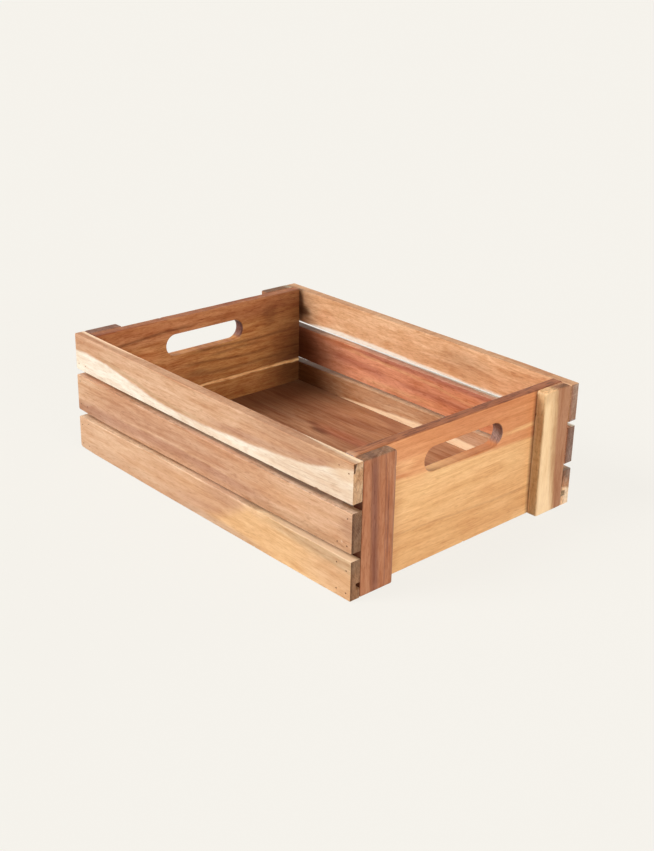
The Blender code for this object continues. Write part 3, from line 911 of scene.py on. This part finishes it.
LOOKS["left_end_board"] = dict(
    END_BOARD, seed=8, colour=(182, 127, 72), cloud=(170, 108, 62), contrast=1.6, mottle=0.8,
    heart=(90.0, 80.0),
    marks=[
        side_of((168, 107, 66), [(-143, 48), (-60, 44), (60, 46), (143, 52)], True, 5.0, share=0.8),
        patch((200, 140, 90), (-82, 14), (50, 30), 0.6),
        patch((216, 150, 98), (-78, 30), (14, 8), 0.5),
        patch((188, 126, 84), (-70, 54), (60, 12), 0.5),
        patch((148, 92, 54), (60, 52), (50, 12), 0.4),
        streak(DARK_BROWN, [(-143, 48), (-88, 51.4), (-54, 53.9), (0, 55)], 1.4, 1.8, 0.6, fade=30),
        streak(DARK_BROWN, [(-30, 21), (26, 20), (67, 19), (110, 20), (160, 21.5)],
               1.4, 1.7, 0.65, fade=30),
        streak(DARK_BROWN, [(-40, 7), (7, 6), (56, 2), (106, 4)], 1.2, 1.6, 0.55, fade=30),
        streak(DARK_BROWN, [(-20, -8), (50, -9), (96, -9.4), (160, -10)], 1.5, 2.0, 0.5, fade=30),
        streak(DARK_BROWN, [(0, 12), (24, 12.6), (53, 13.5), (90, 13)], 1.4, 1.6, 0.5, fade=20),
        patch(DARK_BROWN, (-11, -4.2), (14, 3.5), 0.4),
        patch((104, 62, 26), (96, 45), (10, 16), 0.35),
        # Painted shade in the far inner corner, by the back slats
        patch((98, 54, 20), (168, 28), (74, 70), 0.68, skin=PAINTED_SHADE_SKIN),
        patch((84, 44, 14), (158, -34), (58, 50), 0.72, skin=PAINTED_SHADE_SKIN),
        streak((248, 202, 142), [(-200, -21.5), (-7, -21.8), (67, -21.9), (104, -22.4), (145, -23.2),
                                 (190, -24.0)], 1.7, 1.0, 1.0, fade=60),
    ], edge_tint=(0.92, 0.80, 0.72), end_tint=(0.32, 0.30, 0.80), wall_tint=(1.25, 1.20, 1.25))
LOOKS["front_right_batten"] = dict(
    BATTEN, seed=9, face=(X, 1), colour=(177, 112, 74), cloud=(178, 122, 88), contrast=1.4,
    wander=3.0, slat_side=-1, flush=-1, edges=FRONT_RIGHT_BATTEN_EDGES,
    marks=[
        streak((124, 74, 58), [(-90, -1), (0, -4.5), (90, -7)], 4.2, 3.6, 0.8),
        streak(DARK_BROWN, [(-90, -7), (0, -8.5), (90, -10)], 0.5, 0.9, 0.4),
        streak(BURNT_BROWN, [(-90, 9), (0, 9), (90, 6)], 0.6, 0.9, 0.8),
        streak(BURNT_BROWN, [(-60, 13), (0, 12), (60, 11)], 0.8, 1.1, 0.9),
        streak(GREY_BROWN, [(-90, 19), (0, 19.5), (90, 19)], 1.5, 2.0, 0.7),
    ], end_tint=(0.65, 0.91, 1.16))
LOOKS["back_right_batten"] = dict(
    BATTEN, seed=10, face=(X, 1), colour=(172, 120, 84), cloud=(178, 126, 94),
    wander=3.0, slat_side=1, flush=-1, edges=BACK_RIGHT_BATTEN_EDGES, ends=BACK_RIGHT_BATTEN_ENDS,
    marks=[
        side_of((196, 152, 108), [(-70, 8), (0, 2.5), (70, -1)], False, 2.5),
        side_of(WARM_CREAM, [(-70, 4.5), (-20, -3.0), (20, -6.8), (70, -9.0)],
                False, 5.0, tilt=-6.0, calm=0.6),
        patch((238, 198, 148), (40, -14), (40, 12), 0.4),
        patch((255, 222, 178), (-60, -10), (30, 14), 0.5),
        patch((216, 172, 124), (64, -18), (9, 9), 0.6),
        patch((70, 44, 28), (69, 14), (2.6, 17), 0.95, skin=5.5),
    ], edge_colour=(230, 195, 147),
    # Painted highlight along the side's edge by the end board
    rim_marks=[side_of((252, 206, 156), [(-70, 9.4), (70, 9.4)], True, 1.6, share=0.4)],
    end_tint=(1.22, 1.22, 1.22))
LOOKS["front_left_batten"] = dict(
    BATTEN, seed=11, face=(X, -1), colour=PINK_BROWN, cloud=(178, 112, 80), slat_side=-1, flush=1,
    ends=LEFT_BATTEN_ENDS,
    marks=[streak(DARK_BROWN, [(-90, 6), (0, 7), (90, 9)], 2.5, 2.5, 0.5)],
    end_tint=(0.43, 0.46, 0.52))
LOOKS["back_left_batten"] = dict(
    BATTEN, seed=12, face=(X, -1), colour=(176, 118, 70), cloud=ROSE_BROWN, slat_side=1, flush=1,
    ends=LEFT_BATTEN_ENDS,
    marks=[side_of(WARM_CREAM, [(-90, 14), (0, 12), (90, 13)], True, 3.0, calm=0.6)],
    end_tint=(0.38, 0.42, 0.52))
LOOKS["floor_board"] = dict(
    FLOOR, seed=13, colour=(192, 142, 106), cloud=(160, 106, 76), mottle=1.0, clouds=1.0,
    stretch=2.6, heart=(-60.0, 40.0),
    marks=[
        streak((216, 174, 140), [(-190, 60), (-70, 60)], 2.2, 2.6, 0.7),
        patch((104, 56, 38), (-58, 57), (14, 5), 0.8),
        patch((110, 60, 44), (-78, 64), (10, 4), 0.5),
        streak((124, 72, 52), [(-70, 60), (40, 60)], 2.6, 3.0, 0.65, fade=30),
        patch((178, 100, 72), (-24, 66), (44, 9), 0.55),
        patch((206, 150, 112), (-110, 108), (50, 12), 0.45),
        # Painted shadow on the floor, seen through the right hand slot
        patch((140, 90, 62), (86, 78), (18, 16), 0.5),
        # Painted shadow of the left end board in the far corner
        patch(DARK_BROWN, (-205, 100), (96, 120), 0.78, skin=PAINTED_SHADE_SKIN),
    ])

boxes = {node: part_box(node) for node in LOOKS}
pieces = {node: board(node + "_wood", *boxes[node], look) for node, look in LOOKS.items()}

cutters = {node: [] for node in LOOKS}
for node, shift in SLOT_SHIFTS.items():
    cutters[node].append(slot_cutter("slot", *boxes[node], shift))

cutters["front_top_slat"].append(chip_cutter("chip", *boxes["front_top_slat"]))

# The floor's groove runs through the bottom slats and the end boards
floor_low, floor_high = boxes["floor_board"]
for node, run, across, sign in (("front_bottom_slat", X, Y, -1), ("back_bottom_slat", X, Y, 1),
                                ("left_end_board", Y, X, -1), ("right_end_board", Y, X, 1)):
    low, high = (list(corner) for corner in boxes[node])
    inner = low[across] if sign > 0 else high[across]
    low[across], high[across] = sorted((inner - sign * OVERSHOOT, inner + sign * GROOVE_DEPTH))
    low[run], high[run] = low[run] - OVERSHOOT, high[run] + OVERSHOOT
    low[Z], high[Z] = floor_low[Z] - CLEARANCE, floor_high[Z] + CLEARANCE
    cutters[node].append(box_cutter("groove", low, high))

# A hole for each brad in every board that it goes through
brads = [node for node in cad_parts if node.startswith("brad_")]
for brad in sorted(brads):
    low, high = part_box(brad)
    outward = 1 if low[Y] > 0 else -1
    for node, (board_low, board_high) in boxes.items():
        if all(low[axis] < board_high[axis] and board_low[axis] < high[axis] for axis in (X, Y, Z)):
            cutters[node].append(hole_cutter("hole", low, high, outward, brad in COVERED_BRADS))

bare_brad = steel("brad_steel", *BRAD_COLOURS)
filled_brad = steel("brad_filled", *FILLED_BRAD_COLOURS)
for brad in brads:
    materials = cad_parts[brad].data.materials
    materials.clear()
    materials.append(filled_brad if FILLED_BRADS in brad else bare_brad)

for node, piece in pieces.items():
    if cutters[node]:
        carve(piece, cutters[node])
    soften(piece)
    piece.data.materials.clear()
    piece.data.materials.append(wood(node + "_look", LOOKS[node], *boxes[node]))
    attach(piece, "root")
    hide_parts(node)

# Floor
BACKGROUND = srgb(245, 242, 235)
FLOOR_REACH = 60.0
FLOOR_DROP = 0.1 * MM
FLOOR_EVENNESS = 0.85
FLOOR_GLOW = (1.0, 0.972, 0.911, 1.0)
PAPER_TONES = (srgb(176, 174, 169), srgb(180, 178, 173))
PAPER_TONES_PER_METRE = 3.0


def pale_paper():
    """Paper that takes shadows, and looks nearly as even as the background."""
    material, graph, shader = new_material("pale_paper")
    place = graph.value("ShaderNodeTexCoord", {}, "Object")
    tone = graph.noise(graph.scaled(place, PAPER_TONES_PER_METRE), 2.0, 0.5)
    graph.feed(shader.inputs["Base Color"], graph.mix(tone, *PAPER_TONES))
    shader.inputs["Roughness"].default_value = 0.9
    shader.inputs["Specular IOR Level"].default_value = 0.0
    glow = graph.value("ShaderNodeEmission", {"Color": FLOOR_GLOW})
    inputs = {0: graph.seen() * FLOOR_EVENNESS, 1: Value(graph, shader.outputs[0]), 2: glow}
    output = material.node_tree.nodes["Material Output"]
    graph.feed(output.inputs["Surface"], graph.value("ShaderNodeMixShader", inputs))
    return material


floor_corners = [(x * FLOOR_REACH, y * FLOOR_REACH, 0) for x, y in ((-1, -1), (1, -1), (1, 1), (-1, 1))]
floor = new_piece("studio_floor", floor_corners, [(0, 1, 2, 3)])
floor.location.z = -FLOOR_DROP
floor.data.materials.append(pale_paper())

# Light: an even white room, a soft key from the front left, a low fill from the right and a weak one behind
WORLD_STRENGTH = 0.25
world = bpy.data.worlds.new("studio")
scene.world = world
world.use_nodes = True
room = Graph(world.node_tree)
background = world.node_tree.nodes["Background"]
seen = room.seen()
room.feed(background.inputs["Color"], room.mix(seen, (1, 1, 1, 1), BACKGROUND))
room.feed(background.inputs["Strength"], room.spread(seen, 0.0, 1.0, WORLD_STRENGTH, 1.0))


def direction(azimuth, elevation):
    """The way to a lamp or a camera, from its angles round and above the crate."""
    return Vector((sin(azimuth) * cos(elevation), -cos(azimuth) * cos(elevation),
                   sin(elevation)))


def sun(name, azimuth, elevation, strength, angle, glossy=True):
    lamp = bpy.data.lights.new(name, "SUN")
    lamp.energy = strength
    lamp.angle = radians(angle)
    made = bpy.data.objects.new(name, lamp)
    back = direction(radians(azimuth), radians(elevation))
    made.visible_glossy = glossy
    made.rotation_mode = "QUATERNION"
    made.rotation_quaternion = (-back).to_track_quat("-Z", "Y")
    scene.collection.objects.link(made)


sun("key", azimuth=-30, elevation=38, strength=2.76, angle=30)
sun("fill", azimuth=82, elevation=7, strength=3.0, angle=40)
sun("rear", azimuth=172, elevation=8, strength=1.3, angle=40, glossy=False)

# Camera
CAMERA_AZIMUTH = radians(45.442)
CAMERA_ELEVATION = radians(21.972)
CAMERA_ROLL = radians(2.002)
CAMERA_PLACE = Vector((0.91609, -0.82001, 0.57569))
IMAGE_WIDTH, IMAGE_HEIGHT = 654, 851
FOCAL_PIXELS = 1256.479
PRINCIPAL_POINT = (372.851, 406.634)
back = direction(CAMERA_AZIMUTH, CAMERA_ELEVATION)
level = Vector((cos(CAMERA_AZIMUTH), sin(CAMERA_AZIMUTH), 0))
upright = back.cross(level)
right = cos(CAMERA_ROLL) * level + sin(CAMERA_ROLL) * upright
up = cos(CAMERA_ROLL) * upright - sin(CAMERA_ROLL) * level
lens = bpy.data.cameras.new("camera")
lens.sensor_width = 36
lens.lens = FOCAL_PIXELS * lens.sensor_width / IMAGE_HEIGHT
lens.shift_x = (IMAGE_WIDTH / 2 - PRINCIPAL_POINT[0]) / IMAGE_HEIGHT
lens.shift_y = (PRINCIPAL_POINT[1] - IMAGE_HEIGHT / 2) / IMAGE_HEIGHT
camera = bpy.data.objects.new("camera", lens)
camera.matrix_world = Matrix.Translation(CAMERA_PLACE) @ Matrix((right, up, back)).transposed().to_4x4()
scene.collection.objects.link(camera)
scene.camera = camera

scene.view_settings.view_transform = "Standard"
